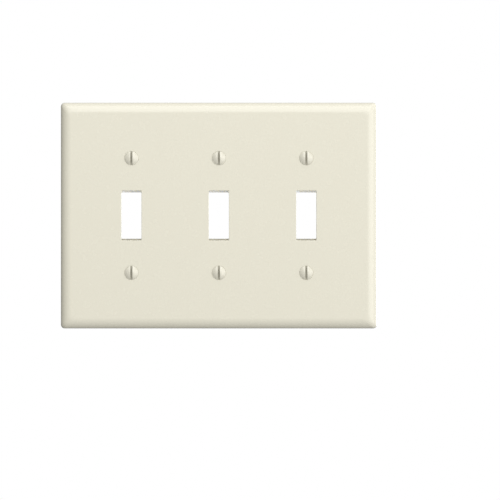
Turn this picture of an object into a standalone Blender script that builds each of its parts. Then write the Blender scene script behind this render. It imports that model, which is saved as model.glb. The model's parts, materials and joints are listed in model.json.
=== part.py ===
"""Three-gang toggle switch wall plate with its six cover screws and their retainers.

Metres, +Z up. The finished face looks towards -Y, +X is to the right seen from the
front, and the wall plane, where the plate's rear rim rests, is y = 0. The origin is
the centre of the plate in the wall plane.

Every outline here is a stack of rings along Y that is skinned into one closed solid.
"""

import math

import bmesh
import bpy
from mathutils import Vector

MM = 0.001

# Where the switches sit: set by the devices behind the plate.
GANG_PITCH = 46.04 * MM            # from one switch centre to the next
SCREW_SPACING = 60.33 * MM         # from the upper to the lower screw of one switch
GANGS = {"left": -1, "centre": 0, "right": 1}
ROWS = {"top": 1, "bottom": -1}

# The plate.
PLATE_WIDTH = 166.69 * MM
PLATE_HEIGHT = 119.06 * MM
PLATE_DEPTH = 5.7 * MM             # from the wall to the finished face
FACE_THICKNESS = 2.2 * MM
OUTLINE_RADIUS = 2.0 * MM          # corners, seen from the front
SKIRT_DEPTH = 1.5 * MM             # the straight part of the edge, next to the wall
ROLL_WIDTH = 5.6 * MM              # how far the rolled edge reaches in over the face
ROLL_STEPS = 9
CORNER_STEPS = 6
RIM_WIDTH = 2.0 * MM               # the flat rear rim
FACE = -PLATE_DEPTH                # y of the finished face
FLOOR = FACE + FACE_THICKNESS      # y of the cavity floor behind it

# The toggle openings: straight sides, sloping top and bottom ends.
OPENING_WIDTH = 10.6 * MM
OPENING_HEIGHT = 24.4 * MM         # the clear height
MOUTH_HEIGHT = 26.4 * MM           # the height on the finished face
OPENING_RADIUS = 0.4 * MM
COLLAR_WALL = 1.2 * MM
COLLAR_REAR = -1.9 * MM            # y of the collar's rear face

# The countersunk screw holes and their bosses.
COUNTERSINK_HALF_ANGLE = math.radians(41.0)
COUNTERSINK_RADIUS = 3.82 * MM
HOLE_RADIUS = 2.1 * MM
BOSS_ROOT_RADIUS = 4.8 * MM
BOSS_RADIUS = 4.5 * MM
BOSS_REAR = -1.4 * MM              # y of the boss's rear face

# Stiffening ribs on the cavity floor.
RIB_WIDTH = 1.2 * MM
RIB_REAR = -2.3 * MM               # y of the ribs' rear edges
RIB_END_INSET = 1.8 * MM           # how far inside the outline a rib ends, within the wall
ROOTED = 0.5 * MM                  # how far bosses, collars and ribs start inside the face

# The cover screws: oval head, slotted, 3.5 mm thread modelled as its plain envelope.
HEAD_RADIUS = 3.5 * MM
HEAD_LAND = 0.10 * MM              # the thin upright rim between cone and dome
DOME_HEIGHT = 1.20 * MM            # from the land to the crown
DOME_STEPS = 6
SHANK_RADIUS = 1.725 * MM
SCREW_LENGTH = 12.7 * MM           # from the face plane to the tip
TIP_CHAMFER = 0.5 * MM
SLOT_WIDTH = 1.1 * MM
SLOT_DEPTH = 1.45 * MM             # from the crown

# The push-on retainers.
RETAINER_RADIUS = 4.2 * MM
RETAINER_BORE = 1.83 * MM
RETAINER_THICKNESS = 0.7 * MM
RETAINER_GAP = 0.3 * MM            # between a boss and its retainer

TURNED_SIDES = 24
OVERSHOOT = 1.0 * MM               # how far a cutter runs past the faces that it opens


def clear_scene():
    """Start from an empty scene."""
    for item in list(bpy.data.objects):
        bpy.data.objects.remove(item, do_unlink=True)


def plain_material(name, colour, roughness, metallic=0.0):
    """A Principled material of one colour."""
    material = bpy.data.materials.new(name)
    material.use_nodes = True
    shader = material.node_tree.nodes["Principled BSDF"]
    shader.inputs["Base Color"].default_value = (*colour, 1.0)
    shader.inputs["Roughness"].default_value = roughness
    shader.inputs["Metallic"].default_value = metallic
    material.diffuse_color = (*colour, 1.0)
    return material


def rounded_rectangle(width, height, radius, steps, y):
    """One ring: a rectangle with round corners in the plane at y."""
    ring = []
    for quarter, (side, end) in enumerate([(1, 1), (-1, 1), (-1, -1), (1, -1)]):
        centre_x = side * (width / 2 - radius)
        centre_z = end * (height / 2 - radius)
        for step in range(steps + 1):
            angle = math.pi / 2 * (quarter + step / steps)
            x = centre_x + radius * math.cos(angle)
            z = centre_z + radius * math.sin(angle)
            ring.append(Vector((x, y, z)))
    return ring


def circle(radius, y, sides=TURNED_SIDES):
    """One ring: a circle round the Y axis in the plane at y."""
    ring = []
    for side in range(sides):
        angle = 2 * math.pi * side / sides
        ring.append(Vector((radius * math.cos(angle), y, radius * math.sin(angle))))
    return ring


def skin(name, rings, closed_loop=False):
    """Skin a stack of rings with as many points each; ends are capped unless it loops."""
    bm = bmesh.new()
    stack = [[bm.verts.new(point) for point in ring] for ring in rings]
    pairs = list(zip(stack, stack[1:]))
    if closed_loop:
        pairs.append((stack[-1], stack[0]))
    else:
        bm.faces.new(stack[0])
        bm.faces.new(stack[-1])
    count = len(stack[0])
    for first, second in pairs:
        for i in range(count):
            j = (i + 1) % count
            bm.faces.new((first[i], first[j], second[j], second[i]))
    bmesh.ops.recalc_face_normals(bm, faces=bm.faces)
    mesh = bpy.data.meshes.new(name)
    bm.to_mesh(mesh)
    bm.free()
    return mesh


def place(name, mesh, location=(0, 0, 0), parent=None):
    """Link a mesh into the scene as an object, under a parent if it has one."""
    item = bpy.data.objects.new(name, mesh)
    bpy.context.collection.objects.link(item)
    item.parent = parent
    item.location = location
    return item


def guide(collection, name, mesh, location=(0, 0, 0)):
    """Place a shape that only adds to or cuts another, so it isn't a piece itself."""
    item = place(name, mesh, location)
    item.hide_render = True
    item.display_type = "WIRE"
    bpy.context.collection.objects.unlink(item)
    collection.objects.link(item)
    return item


def guide_collection(name):
    """A collection for the shapes that one Boolean takes together."""
    collection = bpy.data.collections.new(name)
    bpy.context.scene.collection.children.link(collection)
    return collection


def finish_smooth(item, material, angle=30.0):
    """Give a piece its material, and round shading that breaks at real edges."""
    item.data.materials.clear()
    item.data.materials.append(material)
    item.data.shade_smooth()
    item.data.set_sharp_from_angle(angle=math.radians(angle))


def station(gang, row):
    """Where one cover screw's axis meets the finished face."""
    return Vector((GANGS[gang] * GANG_PITCH, FACE, ROWS[row] * SCREW_SPACING / 2))


# ---- The plate ----


def plate_shell():
    """The bare moulding: rolled edge, flat face, and the shallow cavity behind it."""

    def outline(inset, y, radius):
        return rounded_rectangle(
            PLATE_WIDTH - 2 * inset, PLATE_HEIGHT - 2 * inset, radius, CORNER_STEPS, y
        )

    # The cavity, from its floor out to the rear rim: the wall keeps about 2 mm all the way.
    rings = [
        outline(RIM_WIDTH + 1.9 * MM, FLOOR, 1.2 * MM),
        outline(RIM_WIDTH + 0.7 * MM, FLOOR + 0.7 * MM, 1.2 * MM),
        outline(RIM_WIDTH + 0.15 * MM, FLOOR + 1.9 * MM, 1.0 * MM),
        outline(RIM_WIDTH, 0.0, 0.8 * MM),
    ]
    rings.append(outline(0.0, 0.0, OUTLINE_RADIUS))
    # The rolled edge is a quarter of an ellipse from the skirt to the face.
    roll_depth = PLATE_DEPTH - SKIRT_DEPTH
    for step in range(ROLL_STEPS + 1):
        angle = math.pi / 2 * step / ROLL_STEPS
        inset = ROLL_WIDTH * (1 - math.cos(angle))
        y = -SKIRT_DEPTH - roll_depth * math.sin(angle)
        rings.append(outline(inset, y, OUTLINE_RADIUS + 0.15 * inset))
    return skin("wall_plate", rings)


def rib(collection, name, start, end):
    """One straight rib between two points (x, z), rooted in the cavity floor."""
    low_x = min(start[0], end[0]) - RIB_WIDTH / 2 * (start[0] == end[0])
    high_x = max(start[0], end[0]) + RIB_WIDTH / 2 * (start[0] == end[0])
    low_z = min(start[1], end[1]) - RIB_WIDTH / 2 * (start[1] == end[1])
    high_z = max(start[1], end[1]) + RIB_WIDTH / 2 * (start[1] == end[1])
    rings = []
    for y in (FLOOR - ROOTED, RIB_REAR):
        corners = [(low_x, low_z), (high_x, low_z), (high_x, high_z), (low_x, high_z)]
        rings.append([Vector((x, y, z)) for x, z in corners])
    guide(collection, name, skin(name, rings))


def plate_backing():
    """Everything that stands on the cavity floor: ribs, opening collars and screw bosses."""
    backing = guide_collection("backing")
    end_x = PLATE_WIDTH / 2 - RIB_END_INSET
    end_z = PLATE_HEIGHT / 2 - RIB_END_INSET
    for side in (-1, 1):
        x = side * GANG_PITCH / 2
        rib(backing, f"rib_between_gangs_{side}", (x, -end_z), (x, end_z))
        z = side * SCREW_SPACING / 2
        rib(backing, f"rib_along_bosses_{side}", (-end_x, z), (end_x, z))
    collar_mesh = skin("collar", [
        rounded_rectangle(OPENING_WIDTH + 2 * COLLAR_WALL, OPENING_HEIGHT + 2 * COLLAR_WALL,
                          OPENING_RADIUS + COLLAR_WALL, 4, y)
        for y in (FLOOR - ROOTED, COLLAR_REAR)
    ])
    boss_mesh = skin("boss", [
        circle(BOSS_ROOT_RADIUS, FLOOR - ROOTED, 32),
        circle(BOSS_RADIUS, BOSS_REAR, 32),
    ])
    for gang, column in GANGS.items():
        x = column * GANG_PITCH
        guide(backing, f"collar_{gang}", collar_mesh, (x, 0, 0))
        for row, side in ROWS.items():
            guide(backing, f"boss_{gang}_{row}", boss_mesh, (x, 0, side * SCREW_SPACING / 2))
            inner_z = side * (OPENING_HEIGHT / 2 + COLLAR_WALL / 2)
            rib(backing, f"rib_{gang}_{row}", (x, inner_z), (x, side * end_z))
    return backing


def opening_cutter():
    """The space of one toggle opening: straight sides, ends that slope out to the face."""
    slope = (MOUTH_HEIGHT - OPENING_HEIGHT) / FACE_THICKNESS
    stages = [
        (OVERSHOOT, OPENING_HEIGHT),
        (FLOOR, OPENING_HEIGHT),
        (FACE - OVERSHOOT, MOUTH_HEIGHT + slope * OVERSHOOT),
    ]
    return skin("opening_cutter", [
        rounded_rectangle(OPENING_WIDTH, height, OPENING_RADIUS, 3, y) for y, height in stages
    ])


def screw_hole_cutter():
    """The space of one countersunk hole, with its origin on the finished face."""
    spread = math.tan(COUNTERSINK_HALF_ANGLE)
    foot = (COUNTERSINK_RADIUS - HOLE_RADIUS) / spread
    return skin("screw_hole_cutter", [
        circle(COUNTERSINK_RADIUS + OVERSHOOT * spread, -OVERSHOOT, 32),
        circle(HOLE_RADIUS, foot, 32),
        circle(HOLE_RADIUS, PLATE_DEPTH + OVERSHOOT, 32),
    ])


def plate_cutters():
    """All the openings and screw holes."""
    cutters = guide_collection("cutters")
    opening_mesh = opening_cutter()
    hole_mesh = screw_hole_cutter()
    for gang, column in GANGS.items():
        guide(cutters, f"cut_opening_{gang}", opening_mesh, (column * GANG_PITCH, 0, 0))
        for row in ROWS:
            guide(cutters, f"cut_hole_{gang}_{row}", hole_mesh, station(gang, row))
    return cutters


def make_plate(material):
    """The plate: the shell with its backing added, then openings and holes cut."""
    plate = place("wall_plate", plate_shell())
    steps = (("add_backing", "UNION", plate_backing()), ("cut_holes", "DIFFERENCE", plate_cutters()))
    for name, operation, collection in steps:
        boolean = plate.modifiers.new(name, "BOOLEAN")
        boolean.operation = operation
        boolean.operand_type = "COLLECTION"
        boolean.collection = collection
        boolean.solver = "EXACT"
    even = plate.modifiers.new("even_triangles", "TRIANGULATE")
    even.quad_method = "BEAUTY"
    even.ngon_method = "BEAUTY"
    finish_smooth(plate, material)


# ---- The cover screws and their retainers ----


def screw_blank():
    """The screw before slotting, from crown to tip, with its origin on the face plane."""
    sphere_radius = (HEAD_RADIUS**2 + DOME_HEIGHT**2) / (2 * DOME_HEIGHT)
    sphere_centre = -HEAD_LAND - DOME_HEIGHT + sphere_radius
    half_angle = math.asin(HEAD_RADIUS / sphere_radius)
    rings = []
    for step in range(1, DOME_STEPS + 1):
        angle = half_angle * step / DOME_STEPS
        radius = sphere_radius * math.sin(angle)
        rings.append(circle(radius, sphere_centre - sphere_radius * math.cos(angle)))
    cone_depth = (HEAD_RADIUS - SHANK_RADIUS) / math.tan(COUNTERSINK_HALF_ANGLE)
    rings.append(circle(HEAD_RADIUS, 0.0))
    rings.append(circle(SHANK_RADIUS, cone_depth))
    rings.append(circle(SHANK_RADIUS, SCREW_LENGTH - TIP_CHAMFER))
    rings.append(circle(SHANK_RADIUS - TIP_CHAMFER, SCREW_LENGTH))
    return skin("cover_screw", rings)


def slotted_screw():
    """The finished screw mesh, which all six screws share."""
    crown = -HEAD_LAND - DOME_HEIGHT
    half_width = SLOT_WIDTH / 2
    half_length = HEAD_RADIUS + OVERSHOOT
    corners = [(-half_width, -half_length), (half_width, -half_length),
               (half_width, half_length), (-half_width, half_length)]
    slot_mesh = skin("slot", [
        [Vector((x, y, z)) for x, z in corners] for y in (crown - OVERSHOOT, crown + SLOT_DEPTH)
    ])
    blank = place("screw_blank", screw_blank())
    slot = place("slot_cutter", slot_mesh)
    boolean = blank.modifiers.new("slot", "BOOLEAN")
    boolean.operation = "DIFFERENCE"
    boolean.object = slot
    boolean.solver = "EXACT"
    depsgraph = bpy.context.evaluated_depsgraph_get()
    mesh = bpy.data.meshes.new_from_object(blank.evaluated_get(depsgraph))
    mesh.name = "cover_screw"
    for item in (blank, slot):
        bpy.data.objects.remove(item, do_unlink=True)
    return mesh


def retainer_mesh():
    """A flat push-on washer, with its origin on the face plane of its screw."""
    front = BOSS_REAR - FACE + RETAINER_GAP
    rear = front + RETAINER_THICKNESS
    return skin("screw_retainer", [
        circle(RETAINER_BORE, front),
        circle(RETAINER_RADIUS, front),
        circle(RETAINER_RADIUS, rear),
        circle(RETAINER_BORE, rear),
    ], closed_loop=True)


def make_fasteners(paint, nylon):
    """One screw and one retainer at each station, turning and sliding on its axis empty."""
    screw = slotted_screw()
    retainer = retainer_mesh()
    for gang in GANGS:
        for row in ROWS:
            axis = place(f"axis_{gang}_{row}", None, station(gang, row))
            finish_smooth(place(f"cover_screw_{gang}_{row}", screw, parent=axis), paint)
            finish_smooth(place(f"screw_retainer_{gang}_{row}", retainer, parent=axis), nylon)


def main():
    """Build every piece."""
    clear_scene()
    make_plate(plain_material("almond_urea", (0.80, 0.77, 0.65), 0.28))
    make_fasteners(
        plain_material("almond_paint_on_steel", (0.80, 0.77, 0.65), 0.35),
        plain_material("natural_nylon", (0.80, 0.80, 0.74), 0.45),
    )


main()
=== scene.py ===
# %% [markdown]
# # A toggle switch wall plate, modelled as it is made
#
# This lesson finishes a plain engineering model of a wall plate for three toggle
# switches. The real thing is one flat compression moulding in light almond urea, six
# slotted screws with painted oval heads, and six thin nylon washers that grip the
# screws from behind so that they stay in the plate until it is fitted.
#
# The engineering model gives the sizes and says what moves. Everything that shows is
# rebuilt here with the curves, lips, threads and surfaces that the real parts have, in
# metres, with the finished face looking towards -Y and the wall plane at y = 0.

# %% Load the engineering model
import json
import math

import bmesh
import bpy
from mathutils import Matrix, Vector


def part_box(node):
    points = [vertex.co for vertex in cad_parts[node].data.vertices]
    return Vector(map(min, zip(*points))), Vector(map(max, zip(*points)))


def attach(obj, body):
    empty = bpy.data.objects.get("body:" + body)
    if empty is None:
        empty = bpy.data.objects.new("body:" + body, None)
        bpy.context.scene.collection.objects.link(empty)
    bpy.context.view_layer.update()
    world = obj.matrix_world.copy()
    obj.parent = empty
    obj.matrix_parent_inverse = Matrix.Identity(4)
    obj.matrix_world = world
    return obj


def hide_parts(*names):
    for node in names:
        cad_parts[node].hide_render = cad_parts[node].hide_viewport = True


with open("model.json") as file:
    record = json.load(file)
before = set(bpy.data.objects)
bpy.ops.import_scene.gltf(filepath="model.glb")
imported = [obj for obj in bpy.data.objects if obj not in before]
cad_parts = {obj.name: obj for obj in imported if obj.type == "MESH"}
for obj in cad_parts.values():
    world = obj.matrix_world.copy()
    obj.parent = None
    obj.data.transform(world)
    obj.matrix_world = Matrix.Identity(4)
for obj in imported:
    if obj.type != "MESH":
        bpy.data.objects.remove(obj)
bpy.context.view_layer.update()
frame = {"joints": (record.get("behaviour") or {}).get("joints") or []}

MM = 0.001

# %% [markdown]
# ## Sizes taken from the model
#
# Nothing here is measured twice. The plate's outline and depth come from its box, and
# the places of the screws from the joints that turn them, so that a change to the
# engineering model moves all of the finished pieces with it.

# %% Read the plate, the screw axes and the openings
plate_low, plate_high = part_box("wall_plate")
PLATE_WIDTH = plate_high.x - plate_low.x
PLATE_HEIGHT = plate_high.z - plate_low.z
FACE = plate_low.y
PLATE_DEPTH = -FACE
screw_axes = {
    joint["name"].removeprefix("turn_"): Vector(joint["pos_m"])
    for joint in frame["joints"] if joint["type"] == "hinge"
}
gang_centres = sorted({round(place.x, 6) for place in screw_axes.values()})
SCREW_HEIGHT = max(place.z for place in screw_axes.values())
print("plate, mm:", round(PLATE_WIDTH / MM, 2), "x", round(PLATE_HEIGHT / MM, 2))
print("screws:", sorted(screw_axes))

# %% [markdown]
# ## Skins: one way to make every shape
#
# A wall plate, a screw and a washer look nothing alike, but each one can be described
# as a stack of closed outlines along one axis. The plate's outlines are rectangles with
# round corners; the screw's and the washer's are circles. A function that stretches a
# skin over such a stack makes all of them, and a fillet is only a few more outlines.

# %% Outlines and skins
def rectangle(width, height, radius, y, steps=8):
    """A rectangle with round corners, in the plane at y."""
    points = []
    for quarter, (side, end) in enumerate([(1, 1), (-1, 1), (-1, -1), (1, -1)]):
        for step in range(steps + 1):
            angle = math.pi / 2 * (quarter + step / steps)
            x = side * (width / 2 - radius) + radius * math.cos(angle)
            z = end * (height / 2 - radius) + radius * math.sin(angle)
            points.append(Vector((x, y, z)))
    return points


def circle(radius, y, sides=64):
    """A circle round the Y axis, in the plane at y."""
    turns = [2 * math.pi * side / sides for side in range(sides)]
    return [Vector((radius * math.cos(a), y, radius * math.sin(a))) for a in turns]


def skin(name, rings, looped=False, kinds=None):
    """Stretch a mesh over a stack of outlines. kinds gives each band its material number."""
    bm = bmesh.new()
    stack = [[bm.verts.new(point) for point in ring] for ring in rings]
    bands = list(zip(stack, stack[1:]))
    kinds = kinds or [0] * (len(bands) + 1)
    if looped:
        bands.append((stack[-1], stack[0]))
    else:
        bm.faces.new(stack[0]).material_index = kinds[0]
        bm.faces.new(stack[-1]).material_index = kinds[-1]
    count = len(stack[0])
    for (first, second), kind in zip(bands, kinds):
        for i in range(count):
            j = (i + 1) % count
            face = bm.faces.new((first[i], first[j], second[j], second[i]))
            face.material_index = kind
    bmesh.ops.recalc_face_normals(bm, faces=bm.faces)
    mesh = bpy.data.meshes.new(name)
    bm.to_mesh(mesh)
    bm.free()
    return mesh


def quarter_round(radius, steps=4):
    """(depth, offset) down a rounded lip, from the face it starts on to the wall it ends on."""
    angles = [math.pi / 2 * step / steps for step in range(steps + 1)]
    return [(radius * (1 - math.cos(a)), radius * (1 - math.sin(a))) for a in angles]


def put(name, mesh, location=(0, 0, 0)):
    """Put a mesh into the scene."""
    item = bpy.data.objects.new(name, mesh)
    bpy.context.scene.collection.objects.link(item)
    item.location = location
    return item


# %% [markdown]
# ## Joining and cutting
#
# Ribs, bosses and collars grow out of the moulding, and the openings go through it.
# Both are Boolean operations. The Boolean is worked out once and its result kept as a
# plain mesh, because the helper shapes are not part of the object and should not be
# left lying in the scene.

# %% Boolean helper
def combine(item, helpers, operation):
    """Add the helper shapes to a mesh or cut them from it, keep the result, and drop them."""
    group = bpy.data.collections.new("helpers")
    bpy.context.scene.collection.children.link(group)
    for helper in helpers:
        bpy.context.scene.collection.objects.unlink(helper)
        group.objects.link(helper)
    boolean = item.modifiers.new("combine", "BOOLEAN")
    boolean.operation = operation
    boolean.operand_type = "COLLECTION"
    boolean.collection = group
    boolean.solver = "EXACT"
    depsgraph = bpy.context.evaluated_depsgraph_get()
    result = bpy.data.meshes.new_from_object(item.evaluated_get(depsgraph))
    item.modifiers.clear()
    item.data = result
    for helper in helpers:
        bpy.data.objects.remove(helper, do_unlink=True)
    bpy.data.collections.remove(group)


def shade(item, angle):
    """Round shading that breaks at real edges and keeps flat faces flat."""
    item.data.shade_smooth()
    item.data.set_sharp_from_angle(angle=math.radians(angle))
    weighted = item.modifiers.new("flat_faces_stay_flat", "WEIGHTED_NORMAL")
    weighted.keep_sharp = True


# %% [markdown]
# ## The moulding's shell
#
# The plate is pressed from powder between two heated steel halves. The front half is
# polished and rolls over into a thin upright skirt on all four sides; the back half
# leaves a shallow hollow with a wall about 2 mm thick. The rolled edge is a quarter of
# an ellipse, wider than it is deep, which is what makes the face look softly cushioned
# where a plain bevel would look like sheet metal.

# %% Shell
SKIRT_DEPTH = 1.5 * MM
ROLL_WIDTH = 5.6 * MM
ROLL_STEPS = 24
OUTLINE_RADIUS = 2.0 * MM
FACE_THICKNESS = 2.2 * MM
FLOOR = FACE + FACE_THICKNESS
RIM_WIDTH = 2.0 * MM
RIM_ROUND = 0.2 * MM
EDGE_EASE = 0.06 * MM
ROLL_CORNER_GROWTH = 0.15
HOLLOW_CORNER = [
    # inset past the rim, rise from the floor of the hollow, corner radius, all in mm
    (2.3, 0.0, 1.0),
    (1.5, 0.18, 1.1),
    (0.8, 0.65, 1.1),
    (0.35, 1.3, 1.0),
    (0.15, 2.1, 0.9),
]
POLISHED, AS_MOULDED, FLASH_LINE_AND_PAINTED_SHADING = 0, 1, 2


def outline(inset, y, radius):
    """The plate's outline, moved in by inset."""
    return rectangle(PLATE_WIDTH - 2 * inset, PLATE_HEIGHT - 2 * inset, radius, y)


def shell():
    """The bare moulding: hollow, rim, skirt, roll and face."""
    rings = [
        outline(RIM_WIDTH + inset * MM, FLOOR + rise * MM, radius * MM)
        for inset, rise, radius in HOLLOW_CORNER
    ]
    rings.append(outline(RIM_WIDTH, -RIM_ROUND, 0.8 * MM))
    rings.append(outline(RIM_WIDTH - EDGE_EASE, -EDGE_EASE, 0.85 * MM))
    rings.append(outline(RIM_WIDTH - RIM_ROUND, 0.0, 0.9 * MM))
    hollow_bands = len(rings)
    rings.append(outline(RIM_ROUND, 0.0, OUTLINE_RADIUS - 0.1 * MM))
    rings.append(outline(EDGE_EASE, -EDGE_EASE, OUTLINE_RADIUS))
    rings.append(outline(0.0, -RIM_ROUND, OUTLINE_RADIUS))
    for step in range(ROLL_STEPS + 1):
        angle = math.pi / 2 * step / ROLL_STEPS
        inset = ROLL_WIDTH * (1 - math.cos(angle))
        y = -SKIRT_DEPTH - (PLATE_DEPTH - SKIRT_DEPTH) * math.sin(angle)
        rings.append(outline(inset, y, OUTLINE_RADIUS + ROLL_CORNER_GROWTH * inset))
    kinds = [AS_MOULDED] * hollow_bands + [POLISHED] * (len(rings) - hollow_bands)
    return put("plate_moulding", skin("plate_moulding", rings, kinds=kinds))


plate = shell()
print("shell faces:", len(plate.data.polygons))

# %% [markdown]
# ## What stands on the back
#
# Behind each screw hole is a boss that takes the screw's pull, and round each opening
# a low collar. Thin ribs tie them to each other and to the walls, so that the plate
# doesn't bow when the screws are tightened. Each is skinned on its own with a flared
# foot and a slightly rounded top, because powder doesn't fill a knife edge, and starts
# half a millimetre inside the floor so that the union has something to bite on.

# %% Bosses, collars and ribs
ROOTED = 0.5 * MM
FOOT_FLARE = 0.35 * MM
TOP_ROUND = 0.15 * MM
OPENING_WIDTH = 10.6 * MM
OPENING_HEIGHT = 24.4 * MM
COLLAR_WALL = 1.2 * MM
COLLAR_REAR = -1.9 * MM
BOSS_RADIUS = 4.5 * MM
BOSS_REAR = -1.4 * MM
RIB_WIDTH = 1.0 * MM
RIB_REAR = -2.3 * MM
RIB_END_INSET = 1.8 * MM


def stages(rear):
    """(y, extra width) up a moulded feature: flared foot, drafted side, rounded top."""
    return [
        (FLOOR - ROOTED, FOOT_FLARE),
        (FLOOR + 0.02 * MM, FOOT_FLARE),
        (FLOOR + 0.13 * MM, 0.4 * FOOT_FLARE),
        (FLOOR + FOOT_FLARE, 0.1 * FOOT_FLARE),
        (rear - TOP_ROUND, 0.0),
        (rear - 0.3 * TOP_ROUND, -0.3 * TOP_ROUND),
        (rear, -TOP_ROUND),
    ]


def boss(x, z):
    """A round boss behind one screw hole."""
    rings = [circle(BOSS_RADIUS + extra, y) for y, extra in stages(BOSS_REAR)]
    return put("boss", skin("boss", rings, kinds=[AS_MOULDED] * len(rings)), (x, 0, z))


def bar(x, z, width, height, radius, rear):
    """A straight bar or a collar block standing on the floor."""
    rings = [
        rectangle(width + 2 * extra, height + 2 * extra, radius + extra, y, 4)
        for y, extra in stages(rear)
    ]
    return put("bar", skin("bar", rings, kinds=[AS_MOULDED] * len(rings)), (x, 0, z))


def backing():
    """Every boss, collar and rib."""
    reach_x = PLATE_WIDTH / 2 - RIB_END_INSET
    reach_z = PLATE_HEIGHT / 2 - RIB_END_INSET
    corner = 0.4 * RIB_WIDTH
    made = []
    for side in (-1, 1):
        between = side * (gang_centres[-1] - gang_centres[-2]) / 2
        made.append(bar(between, 0, RIB_WIDTH, 2 * reach_z, corner, RIB_REAR))
        made.append(bar(0, side * SCREW_HEIGHT, 2 * reach_x, RIB_WIDTH, corner, RIB_REAR))
    for x in gang_centres:
        width = OPENING_WIDTH + 2 * COLLAR_WALL
        height = OPENING_HEIGHT + 2 * COLLAR_WALL
        made.append(bar(x, 0, width, height, COLLAR_WALL, COLLAR_REAR))
        for side in (-1, 1):
            made.append(boss(x, side * SCREW_HEIGHT))
            start = OPENING_HEIGHT / 2 + COLLAR_WALL / 2
            middle = side * (start + reach_z) / 2
            made.append(bar(x, middle, RIB_WIDTH, reach_z - start, corner, RIB_REAR - 0.05 * MM))
    return made


combine(plate, backing(), "UNION")
print("with its backing, faces:", len(plate.data.polygons))

# %% [markdown]
# ## Openings, screw holes and ejector marks
#
# A toggle swings up and down, so the ends of its opening slope outwards to the face
# while the sides go straight through. Every mouth has a small lip radius: without it
# the edge would be a mathematical corner that catches no light. The holes are 82 degree
# countersinks for the oval heads. On the back the pins that pushed the hot moulding out
# of the press left shallow round witness marks.

# %% Cut the openings and holes
MOUTH_HEIGHT = 26.4 * MM
OPENING_RADIUS = 0.4 * MM
LIP_RADIUS = 0.22 * MM
COUNTERSINK_HALF_ANGLE = math.radians(41.0)
COUNTERSINK_RADIUS = 3.76 * MM
HOLE_RADIUS = 2.1 * MM
OVERSHOOT = 1.0 * MM
SLIVER = 0.02 * MM
HOLE_LIP = 0.05 * MM
MARK_RADIUS = 2.4 * MM
MARK_DEPTH = 0.18 * MM
MARK_COLUMNS = (-3, -1.5, -0.5, 0.5, 1.5, 3)  # in half pitches from the middle
MARK_HEIGHT_SHARE = 0.42


def opening_cut(x):
    """One toggle opening with a rounded mouth."""
    slope = (MOUTH_HEIGHT - OPENING_HEIGHT) / FACE_THICKNESS
    rings = []
    for depth, offset in [(-OVERSHOOT, LIP_RADIUS)] + quarter_round(LIP_RADIUS):
        depth = depth or -SLIVER
        height = MOUTH_HEIGHT - slope * max(depth, 0.0) + 2 * offset
        width = OPENING_WIDTH + 2 * offset
        rings.append(rectangle(width, height, OPENING_RADIUS + offset, FACE + depth, 4))
    lip_bands = len(rings)
    rings.append(rectangle(OPENING_WIDTH, OPENING_HEIGHT, OPENING_RADIUS, FLOOR, 4))
    rings.append(rectangle(OPENING_WIDTH, OPENING_HEIGHT, OPENING_RADIUS, OVERSHOOT, 4))
    # The walls inside each opening take the flash-line finish, whose colour is painted light and painted
    # shade.
    kinds = [POLISHED] * (lip_bands - 1) + [FLASH_LINE_AND_PAINTED_SHADING] * 3
    return put("opening_cut", skin("opening_cut", rings, kinds=kinds), (x, 0, 0))


def hole_cut(place):
    """One countersunk screw hole."""
    spread = math.tan(COUNTERSINK_HALF_ANGLE)
    foot = (COUNTERSINK_RADIUS - HOLE_RADIUS) / spread
    profile = [
        (-OVERSHOOT, COUNTERSINK_RADIUS + HOLE_LIP),
        (-SLIVER, COUNTERSINK_RADIUS + HOLE_LIP),
        (0.4 * HOLE_LIP, COUNTERSINK_RADIUS + 0.15 * HOLE_LIP),
        (1.5 * HOLE_LIP, COUNTERSINK_RADIUS - 1.5 * HOLE_LIP * spread),
        (foot, HOLE_RADIUS),
        (PLATE_DEPTH + OVERSHOOT, HOLE_RADIUS),
    ]
    rings = [circle(radius, depth) for depth, radius in profile]
    return put("hole_cut", skin("hole_cut", rings), place)


def ejector_mark(x, z):
    """A shallow round print of an ejector pin on the floor of the hollow."""
    rings = [circle(MARK_RADIUS, FLOOR - MARK_DEPTH, 48), circle(MARK_RADIUS, FLOOR + OVERSHOOT, 48)]
    kinds = [AS_MOULDED] * 3
    return put("ejector_mark", skin("ejector_mark", rings, kinds=kinds), (x, 0, z))


cuts = [opening_cut(x) for x in gang_centres]
cuts += [hole_cut(place) for place in screw_axes.values()]
half_pitch = (gang_centres[-1] - gang_centres[-2]) / 2
for column in MARK_COLUMNS:
    for row in (-1, 1):
        cuts.append(ejector_mark(column * half_pitch, row * MARK_HEIGHT_SHARE * PLATE_HEIGHT))
combine(plate, cuts, "DIFFERENCE")
shade(plate, 40)
print("finished plate, faces:", len(plate.data.polygons))

# %% [markdown]
# ## The cover screws
#
# Each is a 6-32 machine screw with a slotted oval head: a low dome above an 82 degree
# cone, the dome cut right across by a 1.1 mm slot. It is one skin from crown to tip.
# Over the thread a ring isn't round: each point's distance from the axis follows the
# 60 degree thread form, shifted by its angle, so ring after ring the crest winds round
# the shank as a helix with a real 0.794 mm pitch.

# %% Screw blank with a real thread
THREAD_PITCH = 25.4 * MM / 32
THREAD_CREST = 1.72 * MM
THREAD_ROOT = 1.33 * MM
NECK_RADIUS = 1.55 * MM
TIP_RADIUS = 1.2 * MM
TURN_SIDES = 48
RINGS_PER_PITCH = 12
HEAD_RADIUS = 3.68 * MM
HEAD_LAND = 0.03 * MM
DOME_HEIGHT = 1.28 * MM
DOME_STEPS = 14
CREST_FLAT = 0.12
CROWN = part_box("cover_screw_centre_top")[0].y - FACE
SCREW_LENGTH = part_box("cover_screw_centre_top")[1].y - FACE
PAINTED, PLATED, SLOT_PAINTED_SHADE = 0, 1, 2


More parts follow.
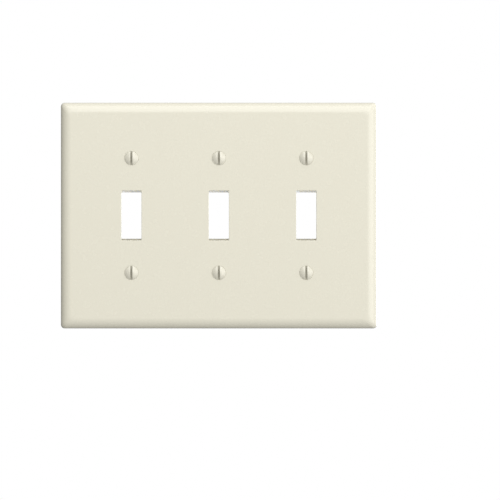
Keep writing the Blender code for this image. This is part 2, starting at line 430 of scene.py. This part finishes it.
def head_profile():
    """(depth from the face plane, radius) from the crown to the neck."""
    sphere = (HEAD_RADIUS**2 + DOME_HEIGHT**2) / (2 * DOME_HEIGHT)
    centre = -HEAD_LAND - DOME_HEIGHT + sphere
    half_angle = math.asin((HEAD_RADIUS - 0.05 * MM) / sphere)
    for step in range(1, DOME_STEPS + 1):
        angle = half_angle * step / DOME_STEPS
        yield centre - sphere * math.cos(angle), sphere * math.sin(angle)
    yield -0.08 * MM, HEAD_RADIUS
    yield 0.0, HEAD_RADIUS - 0.02 * MM
    cone_depth = (HEAD_RADIUS - NECK_RADIUS) / math.tan(COUNTERSINK_HALF_ANGLE)
    for share in (0.25, 0.5, 0.75, 0.93):
        yield share * cone_depth, HEAD_RADIUS - share * (HEAD_RADIUS - NECK_RADIUS)


def thread_ring(y, share):
    """A ring of the thread at y; share fades it from the plain neck, 0, to full depth, 1."""
    points = []
    for side in range(TURN_SIDES):
        turn = side / TURN_SIDES
        vee = 1.0 - abs(2.0 * ((y / THREAD_PITCH - turn) % 1.0) - 1.0)
        form = min(1.0, max(0.0, (vee - CREST_FLAT) / (1.0 - 2.0 * CREST_FLAT)))
        radius = THREAD_ROOT + (THREAD_CREST - THREAD_ROOT) * form
        radius = NECK_RADIUS + share * (radius - NECK_RADIUS)
        angle = 2 * math.pi * turn
        points.append(Vector((radius * math.cos(angle), y, radius * math.sin(angle))))
    return points


def screw_blank():
    """The screw before slotting, its origin on the face plane, its tip towards +Y."""
    rings = [circle(radius, depth, TURN_SIDES) for depth, radius in head_profile()]
    painted_bands = len(rings) - 4
    start = rings[-1][0].y + 0.1 * MM
    end = SCREW_LENGTH - 0.35 * MM
    count = round((end - start) / THREAD_PITCH * RINGS_PER_PITCH)
    for step in range(count + 1):
        y = start + (end - start) * step / count
        share = min(1.0, (y - start) / THREAD_PITCH, (end - y) / (0.5 * THREAD_PITCH))
        rings.append(thread_ring(y, share))
    rings.append(circle(TIP_RADIUS, SCREW_LENGTH, TURN_SIDES))
    kinds = [PAINTED] * painted_bands + [PLATED] * (len(rings) - painted_bands)
    return put("screw_blank", skin("screw_blank", rings, kinds=kinds))


blank = screw_blank()
print("screw, mm:", round(SCREW_LENGTH / MM, 2), "long; faces:", len(blank.data.polygons))

# %% [markdown]
# ## Slotting the heads
#
# The slot is sawn after heading and before painting, so its edges are slightly burred
# and the paint rounds them over. A small bevel on just those edges gives the bright
# line that a painted edge shows. All six screws are the same mesh, with their slots
# upright, as a tidy installer leaves them.

# %% Cut the slot and place the six screws
SLOT_WIDTH = 1.1 * MM
SLOT_DEPTH = 1.3 * MM
SLOT_EDGE = 0.07 * MM


def slot_cut():
    """A saw cut right across the head, with a slightly rounded floor."""
    length = 2 * HEAD_RADIUS + 2 * OVERSHOOT
    floor = CROWN + SLOT_DEPTH
    rings = [
        rectangle(SLOT_WIDTH, length, 0.01 * MM, CROWN - OVERSHOOT, 1),
        rectangle(SLOT_WIDTH, length, 0.01 * MM, floor - 0.12 * MM, 1),
        rectangle(SLOT_WIDTH - 0.08 * MM, length, 0.01 * MM, floor - 0.03 * MM, 1),
        rectangle(SLOT_WIDTH - 0.24 * MM, length, 0.01 * MM, floor, 1),
    ]
    # The slot's faces take the slot enamel, whose grey colour is painted shade.
    return put("slot_cut", skin("slot_cut", rings, kinds=[SLOT_PAINTED_SHADE] * 4))


def soften_slot(mesh):
    """Bevel the edges where the slot breaks the dome."""
    bm = bmesh.new()
    bm.from_mesh(mesh)
    edges = []
    for edge in bm.edges:
        middle = (edge.verts[0].co + edge.verts[1].co) / 2
        along_slot = abs(abs(middle.x) - SLOT_WIDTH / 2) < 0.01 * MM
        if along_slot and middle.y < 0 and edge.calc_face_angle(0) > math.radians(40):
            edges.append(edge)
    bmesh.ops.bevel(
        bm, geom=edges, offset=SLOT_EDGE, segments=2, profile=0.5, affect="EDGES", clamp_overlap=True
    )
    bm.to_mesh(mesh)
    bm.free()
    return len(edges)


combine(blank, [slot_cut()], "DIFFERENCE")
print("slot edges softened:", soften_slot(blank.data))
screw_mesh = blank.data
bpy.data.objects.remove(blank, do_unlink=True)
screws = {}
for name, place in screw_axes.items():
    screws[name] = put(f"painted_screw_{name}", screw_mesh, place)
    shade(screws[name], 40)

# %% [markdown]
# ## The push-on washers
#
# A retaining washer is punched or moulded from soft nylon, with a few shallow scallops
# round its bore. The tongues between them bend over the thread and grip it. Its ring is
# skinned like the rest, but its inner outlines swing in and out six times a turn.

# %% Washers
WASHER_ROUND = 0.12 * MM
SCALLOPS = 6
SCALLOP_DEPTH = 0.45 * MM
washer_low, washer_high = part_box("screw_retainer_centre_top")
WASHER_RADIUS = (washer_high.x - washer_low.x) / 2
WASHER_BORE = 1.8 * MM


def scalloped(extra, y, sides=96):
    """The washer's bore: tongues at the bore radius, scallops between them."""
    points = []
    for side in range(sides):
        angle = 2 * math.pi * side / sides
        swing = max(0.0, math.cos(SCALLOPS * angle)) ** 0.6
        radius = WASHER_BORE + SCALLOP_DEPTH * swing + extra
        points.append(Vector((radius * math.cos(angle), y, radius * math.sin(angle))))
    return points


def washer_mesh():
    """One washer round its axis, between its own front and rear planes."""
    front = washer_low.y - FACE
    rear = washer_high.y - FACE
    rings = []
    for depth, offset in quarter_round(WASHER_ROUND, 3):
        rings.append(circle(WASHER_RADIUS - offset, front + depth, 96))
    for depth, offset in reversed(quarter_round(WASHER_ROUND, 3)):
        rings.append(circle(WASHER_RADIUS - offset, rear - depth, 96))
    for depth, offset in quarter_round(WASHER_ROUND, 3):
        rings.append(scalloped(offset, rear - depth))
    for depth, offset in reversed(quarter_round(WASHER_ROUND, 3)):
        rings.append(scalloped(offset, front + depth))
    return skin("washer", rings, looped=True)


washer = washer_mesh()
washers = {}
for name, place in screw_axes.items():
    washers[name] = put(f"nylon_washer_{name}", washer, place)
    shade(washers[name], 40)
print("washer, mm:", round(2 * WASHER_RADIUS / MM, 2), "across; faces:", len(washer.polygons))

# %% [markdown]
# ## Colours and nodes
#
# Colours are written as the sRGB hex values that a paint card would give, and turned to
# the linear values that shaders work in by one function. Another adds a node, sets its
# properties and its inputs, and links any input that is given as another node's socket.

# %% Colour and node helpers
def linear(hex_colour):
    """The linear RGBA of an sRGB hex colour."""
    channels = [int(hex_colour[i:i + 2], 16) / 255 for i in (0, 2, 4)]
    return tuple(c / 12.92 if c <= 0.04045 else ((c + 0.055) / 1.055) ** 2.4 for c in channels) + (1.0,)


def add(tree, kind, inputs=None, **settings):
    """Add a node; inputs are values to set or sockets to link."""
    made = tree.nodes.new(kind)
    for key, value in settings.items():
        setattr(made, key, value)
    for key, value in (inputs or {}).items():
        if isinstance(value, bpy.types.NodeSocket):
            tree.links.new(value, made.inputs[key])
        else:
            made.inputs[key].default_value = value
    return made


def start_material(name, **constants):
    """A material with its node tree, its Principled shader and object coordinates."""
    material = bpy.data.materials.new(name)
    material.use_nodes = True
    tree = material.node_tree
    shader = tree.nodes["Principled BSDF"]
    for key, value in constants.items():
        shader.inputs[key.replace("_", " ")].default_value = value
    where = add(tree, "ShaderNodeTexCoord").outputs["Object"]
    return material, tree, shader, where


def per_metre(size_mm):
    """A noise scale whose features are about size_mm across."""
    return 1.0 / (size_mm * MM)


def mottle(tree, where, size_mm, colours, detail=3.0):
    """A soft cloud between two near colours, its patches about size_mm across."""
    noise = add(tree, "ShaderNodeTexNoise", {
        "Vector": where, "Scale": per_metre(size_mm), "Detail": detail,
    })
    ramp = add(tree, "ShaderNodeValToRGB", {"Fac": noise.outputs["Fac"]})
    stops = ramp.color_ramp.elements
    stops[0].position, stops[1].position = 0.3, 0.7
    stops[0].color, stops[1].color = linear(colours[0]), linear(colours[1])
    return ramp.outputs["Color"]


def vary(tree, where, size_mm, low, high, detail=2.0):
    """A number that wanders between low and high over patches about size_mm across."""
    noise = add(tree, "ShaderNodeTexNoise", {
        "Vector": where, "Scale": per_metre(size_mm), "Detail": detail,
    })
    spread = add(tree, "ShaderNodeMapRange", {
        "Value": noise.outputs["Fac"], "From Min": 0.3, "From Max": 0.7, "To Min": low, "To Max": high,
    })
    return spread.outputs["Result"]


def bumps(tree, where, layers):
    """Stacked bumps, coarse to fine: each layer is (feature size in mm, height in mm, strength)."""
    normal = None
    for size_mm, height_mm, strength in layers:
        noise = add(tree, "ShaderNodeTexNoise", {
            "Vector": where, "Scale": per_metre(size_mm), "Detail": 2.0, "Roughness": 0.5,
        })
        inputs = {"Height": noise.outputs["Fac"], "Distance": height_mm * MM, "Strength": strength}
        if normal is not None:
            inputs["Normal"] = normal
        normal = add(tree, "ShaderNodeBump", inputs).outputs["Normal"]
    return normal


# %% [markdown]
# ## Urea, as it leaves a polished steel die
#
# Compression-moulded urea-formaldehyde is a hard thermoset filled with fine cellulose.
# Its index is about 1.55. Against the polished die the resin forms a thin clear skin
# over the filled body, which is the coat here: it is what gives the soft sheen along
# the rolled edge. A cured moulding shrinks a little as it cools, so reflections wander
# over patches a centimetre wide, with a very faint orange-peel over them. The cellulose
# shows as a slight cloudiness, almond on almond. The real fibre is about 0.1 mm; the
# finest layers are drawn at 0.35 mm so that a close view can show them.

# %% Polished urea
def polished_urea():
    """The front of the plate."""
    material, tree, shader, where = start_material(
        "moulded_urea_polished", IOR=1.55, Coat_Weight=0.8, Coat_IOR=1.55, Coat_Roughness=0.2
    )
    cloud = mottle(tree, where, 9.0, ("E1DDCB", "E2DECC"))
    fibre = mottle(tree, where, 0.35, ("E0DCCA", "E3DFCD"), detail=1.0)
    colour = add(tree, "ShaderNodeMix", {0: 0.2, 6: cloud, 7: fibre}, data_type="RGBA")
    tree.links.new(colour.outputs[2], shader.inputs["Base Color"])
    tree.links.new(vary(tree, where, 5.0, 0.23, 0.29), shader.inputs["Roughness"])
    normal = bumps(tree, where, [(14.0, 0.008, 0.2), (1.1, 0.0003, 0.4), (0.35, 0.0001, 0.3)])
    tree.links.new(normal, shader.inputs["Normal"])
    return material


# %% [markdown]
# ## Urea from the unpolished back half, and on the flash line
#
# Nobody sees the back once the plate is up, so that half of the die is left as it was
# turned and stoned: the hollow is duller and a touch greyer, with a coarser bump. Where
# the halves shut inside the openings a skin of flash forms, and tumbling the parts with
# nut shell breaks it off. That leaves the sloping end walls matt and slightly pitted, and
# open enough for light to scatter about three millimetres under the surface. Their colour
# is painted light and painted shade: the walls are drawn nearly white, paler than the
# face, as painted light that keeps the upper ends, which face down, from going dark, and
# the ends that face upwards are drawn grey as painted shade, its share taken from how far
# the surface faces up.

# %% Back finish, and flash-line finish with painted light and shade
def moulded_back():
    """The hollow side of the plate."""
    material, tree, shader, where = start_material("moulded_urea_back", IOR=1.55)
    colour = mottle(tree, where, 6.0, ("DEDAC8", "E5E1CF"))
    tree.links.new(colour, shader.inputs["Base Color"])
    tree.links.new(vary(tree, where, 3.0, 0.42, 0.56), shader.inputs["Roughness"])
    normal = bumps(tree, where, [(3.0, 0.010, 0.5), (0.6, 0.004, 0.5)])
    tree.links.new(normal, shader.inputs["Normal"])
    return material


def flash_line_painted_light_and_shade():
    """The inside of the toggle openings, with painted light and painted shade on their ends."""
    material, tree, shader, where = start_material(
        "moulded_urea_flash_line_painted_light_and_shade", IOR=1.55, Subsurface_Weight=1.0, Subsurface_Scale=3.0 * MM
    )
    shader.inputs["Subsurface Radius"].default_value = (1.0, 0.95, 0.85)
    # Painted light: the walls are drawn nearly white, paler than the face. Painted shade: the ends that
    # face up are drawn grey, more so the more they face up.
    pale_painted_light = mottle(tree, where, 0.8, ("EFEDE6", "F7F5EF"))
    grey_painted_shade = mottle(tree, where, 0.8, ("9A9687", "B0AC9C"))
    facing = add(tree, "ShaderNodeTexCoord").outputs["Normal"]
    upward = add(tree, "ShaderNodeSeparateXYZ", {"Vector": facing}).outputs["Z"]
    painted_shade_share = add(tree, "ShaderNodeMapRange", {"Value": upward, "From Min": 0.0, "From Max": 0.5})
    colour = add(tree, "ShaderNodeMix", {0: painted_shade_share.outputs["Result"], 6: pale_painted_light, 7: grey_painted_shade}, data_type="RGBA")
    tree.links.new(colour.outputs[2], shader.inputs["Base Color"])
    tree.links.new(vary(tree, where, 0.8, 0.6, 0.75), shader.inputs["Roughness"])
    tree.links.new(bumps(tree, where, [(0.5, 0.010, 0.6)]), shader.inputs["Normal"])
    return material


for finish in (polished_urea(), moulded_back(), flash_line_painted_light_and_shade()):
    plate.data.materials.append(finish)
print("plate finishes:", [m.name for m in plate.data.materials])

# %% [markdown]
# ## Enamel over zinc
#
# The heads are spray-enamelled to match the plate after the whole screw has been zinc
# plated. Stoved enamel flows out glossier than the plate, with clear resin at its top,
# and has its own orange-peel of about half a millimetre. Little of it reaches into the
# slot, where it is thin and matt, and its colour there is drawn a darker grey as painted
# shade for the slot. The shank keeps its bright zinc: a metal, blue white, with the
# passivation clouding its roughness. A metal keeps the default index.

# %% Screw finishes
def stoved_enamel():
    """The painted head."""
    material, tree, shader, where = start_material(
        "stoved_enamel_almond", IOR=1.5, Coat_Weight=0.8, Coat_Roughness=0.1
    )
    colour = mottle(tree, where, 1.5, ("DBD7C6", "E0DCCB"))
    tree.links.new(colour, shader.inputs["Base Color"])
    tree.links.new(vary(tree, where, 1.2, 0.18, 0.26), shader.inputs["Roughness"])
    tree.links.new(bumps(tree, where, [(0.5, 0.003, 0.5)]), shader.inputs["Normal"])
    return material


def bright_zinc():
    """The plated thread."""
    material, tree, shader, where = start_material("zinc_plated_steel", Metallic=1.0)
    colour = mottle(tree, where, 1.0, ("B4B8BC", "CDD0D2"))
    tree.links.new(colour, shader.inputs["Base Color"])
    tree.links.new(vary(tree, where, 0.7, 0.24, 0.42), shader.inputs["Roughness"])
    tree.links.new(bumps(tree, where, [(0.25, 0.002, 0.5)]), shader.inputs["Normal"])
    return material


def slot_enamel_painted_shade():
    """The thin matt coat inside the slot, drawn grey as painted shade."""
    material, tree, shader, where = start_material("enamel_in_slot_painted_shade", IOR=1.5)
    # Painted shade: the slot's enamel is drawn a darker grey than the head, standing in for the shade
    # inside the slot.
    colour = mottle(tree, where, 0.5, ("A39F8F", "B7B3A2"))
    tree.links.new(colour, shader.inputs["Base Color"])
    tree.links.new(vary(tree, where, 0.5, 0.45, 0.6), shader.inputs["Roughness"])
    tree.links.new(bumps(tree, where, [(0.3, 0.006, 0.5)]), shader.inputs["Normal"])
    return material


for finish in (stoved_enamel(), bright_zinc(), slot_enamel_painted_shade()):
    screw_mesh.materials.append(finish)
print("screw finishes:", [m.name for m in screw_mesh.materials])

# %% [markdown]
# ## Nylon
#
# Natural nylon is milky: light goes in, scatters and comes out a little further on. A
# small subsurface radius of about a millimetre gives that waxy look. Its index is 1.53
# and its moulded surface is satin.

# %% Washer finish
def natural_nylon():
    """The push-on washers."""
    material, tree, shader, where = start_material("moulded_natural_nylon", IOR=1.53, Subsurface_Weight=0.4)
    shader.inputs["Subsurface Radius"].default_value = (1.0, 0.9, 0.75)
    shader.inputs["Subsurface Scale"].default_value = 1.0 * MM
    colour = mottle(tree, where, 1.5, ("DDDCD0", "E9E8DE"))
    tree.links.new(colour, shader.inputs["Base Color"])
    tree.links.new(vary(tree, where, 1.0, 0.38, 0.5), shader.inputs["Roughness"])
    tree.links.new(bumps(tree, where, [(0.6, 0.004, 0.5)]), shader.inputs["Normal"])
    return material


washer.materials.append(natural_nylon())
print("washer finish:", washer.materials[0].name)

# %% [markdown]
# ## Hand the pieces to the model
#
# Each finished piece moves with the body of the part that it stands for: the plate is
# fixed, a washer turns on its boss, and a screw turns with its washer and slides
# through it.

# %% Ride and replace
plate.name = "moulded_plate"
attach(plate, "plate")
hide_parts("wall_plate")
for name in screw_axes:
    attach(screws[name], f"screw_{name}")
    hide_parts(f"cover_screw_{name}")
    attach(washers[name], f"retainer_{name}")
    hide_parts(f"screw_retainer_{name}")
print("pieces handed over:", 1 + len(screws) + len(washers))

# %% [markdown]
# ## Camera
#
# A catalogue view of a flat plate is taken square on from far away, so that its sides
# stay parallel and the openings show no side walls. A long lens does that: the frame is
# 263 mm wide at the plate, seen from almost two metres. The plate hangs a little above
# and to the left of the middle of the frame, so the camera stands a little below and to
# the right of the plate's centre, and looks straight ahead.

# %% Camera
SENSOR_WIDTH = 36.0
FRAME_WIDTH = 263.2 * MM
CAMERA_DISTANCE = 1.9
CAMERA_RIGHT = 16.4 * MM
CAMERA_BELOW = 18.15 * MM
camera_data = bpy.data.cameras.new("catalogue_camera")
camera_data.sensor_width = SENSOR_WIDTH
camera_data.lens = SENSOR_WIDTH * CAMERA_DISTANCE / FRAME_WIDTH
camera = put("catalogue_camera", camera_data, (CAMERA_RIGHT, FACE - CAMERA_DISTANCE, -CAMERA_BELOW))
camera.rotation_euler = (math.pi / 2, 0, 0)
bpy.context.scene.camera = camera
print("lens, mm:", round(camera_data.lens))

# %% [markdown]
# ## Floor, light and air
#
# A white plate on white needs light with a direction, or its edges vanish. The air
# itself is a soft dome, brightest to the upper right and in front, that shades the
# rolled edges from light to dark. Two wide soft boxes, one overhead and one to the
# right, add the pale bands along the top and right rolls and the sheen on every screw,
# and a smaller, brighter box behind keeps the back readable. That one stands well over
# to the right: straight behind, the top edge would mirror its outline at a glancing
# angle, and the rim would be bright for only part of its length. To the camera the air
# looks pure white. A pale floor lies well below the plate, out of the camera's frame.

# %% Floor
FLOOR_DROP = 130 * MM
FLOOR_RADIUS = 500 * MM
FLOOR_SHEET = 4 * MM
floor = put("pale_floor", skin("pale_floor", [circle(FLOOR_RADIUS, y, 96) for y in (0.0, FLOOR_SHEET)]))
floor.rotation_euler = (-math.pi / 2, 0, 0)
floor.location = (0, 0, plate_low.z - FLOOR_DROP)
floor.visible_diffuse = False
floor.visible_glossy = False
floor_material, floor_tree, floor_shader, floor_where = start_material("matt_paper", Roughness=0.9)
floor_colour = mottle(floor_tree, floor_where, 4.0, ("F4F4F2", "F9F9F8"))
floor_tree.links.new(floor_colour, floor_shader.inputs["Base Color"])
floor.data.materials.append(floor_material)
print("floor below the plate, mm:", round(FLOOR_DROP / MM))

# %% Soft boxes
def soft_box(name, direction, distance, width, height, radiance):
    """A soft box of the given brightness that shines at the plate's centre."""
    light = bpy.data.lights.new(name, "AREA")
    light.shape = "RECTANGLE"
    light.size, light.size_y = width, height
    light.energy = radiance * math.pi * width * height
    towards = Vector(direction).normalized()
    item = put(name, light, towards * distance)
    item.rotation_euler = towards.to_track_quat("Z", "Y").to_euler()
    item.visible_camera = False


BOXES = {
    # direction from the plate, distance, width and height in metres, radiance
    "overhead_box": ((0.0, -0.73, 0.68), 1.5, 1.6, 1.8, 1.15),
    "right_box": ((0.71, -0.71, 0.0), 1.5, 1.2, 1.4, 0.74),
    "rear_box": ((0.8, 1.0, 0.1), 1.4, 0.8, 0.8, 4.0),
}
for box_name, settings in BOXES.items():
    soft_box(box_name, *settings)
print("soft boxes:", list(BOXES))

# %% Air
BRIGHT_SIDE = (0.80, -0.44, 0.41)
AIR_MEAN = 0.568
AIR_SWING = 0.52
world = bpy.data.worlds.new("white_air")
bpy.context.scene.world = world
world.use_nodes = True
air = world.node_tree
air.nodes.clear()
direction = add(air, "ShaderNodeTexCoord").outputs["Generated"]
towards_bright = add(air, "ShaderNodeVectorMath", {0: direction, 1: BRIGHT_SIDE}, operation="DOT_PRODUCT")
strength = add(air, "ShaderNodeMapRange", {
    "Value": towards_bright.outputs["Value"], "From Min": -1.0, "From Max": 1.0,
    "To Min": AIR_MEAN - AIR_SWING, "To Max": AIR_MEAN + AIR_SWING,
})
seen = add(air, "ShaderNodeBackground", {"Color": (1, 1, 1, 1), "Strength": 1.0})
felt = add(air, "ShaderNodeBackground", {"Color": (1, 1, 1, 1), "Strength": strength.outputs["Result"]})
rays = add(air, "ShaderNodeLightPath")
both = add(air, "ShaderNodeMixShader", {
    0: rays.outputs["Is Camera Ray"], 1: felt.outputs[0], 2: seen.outputs[0],
})
add(air, "ShaderNodeOutputWorld", {"Surface": both.outputs[0]})
bpy.context.scene.view_settings.view_transform = "Standard"
print("air, darkest and brightest:", round(AIR_MEAN - AIR_SWING, 3), round(AIR_MEAN + AIR_SWING, 3))
